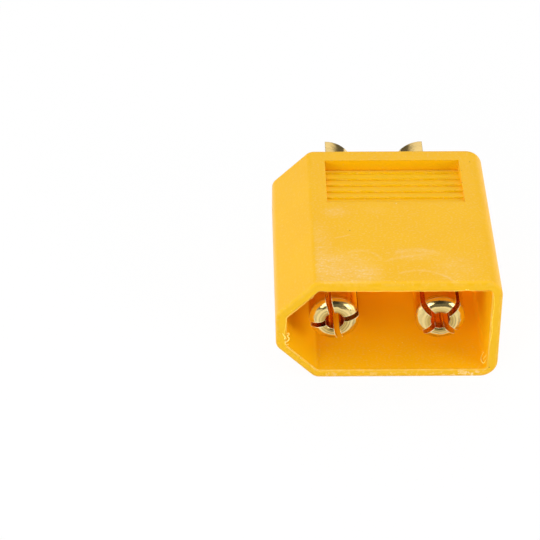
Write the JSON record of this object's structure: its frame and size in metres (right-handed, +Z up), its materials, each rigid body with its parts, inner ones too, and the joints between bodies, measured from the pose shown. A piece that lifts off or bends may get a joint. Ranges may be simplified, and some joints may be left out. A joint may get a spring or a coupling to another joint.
{
  "type": "battery connector",
  "caption": "Shrouded half of a high-current battery connector: a chamfered moulded housing with sunk grips round split hollow pins that end in half-cut solder cups.",
  "frame": {"origin": "centre of the part's box, on the surface that its lower broad face lies on", "axes": "+X across the contacts towards the positive one, +Y from the rim back to the solder cups, +Z up out of the upper broad face"},
  "size_m": [0.0156, 0.0212, 0.0082],
  "materials": {
    "nylon": "warm yellow moulded nylon, semi-matt",
    "gold_plate": "gold plated turned brass, bright"
  },
  "bodies": {
    "root": {"housing": "nylon", "negative_contact": "gold_plate", "positive_contact": "gold_plate"}
  },
  "joints": []
}
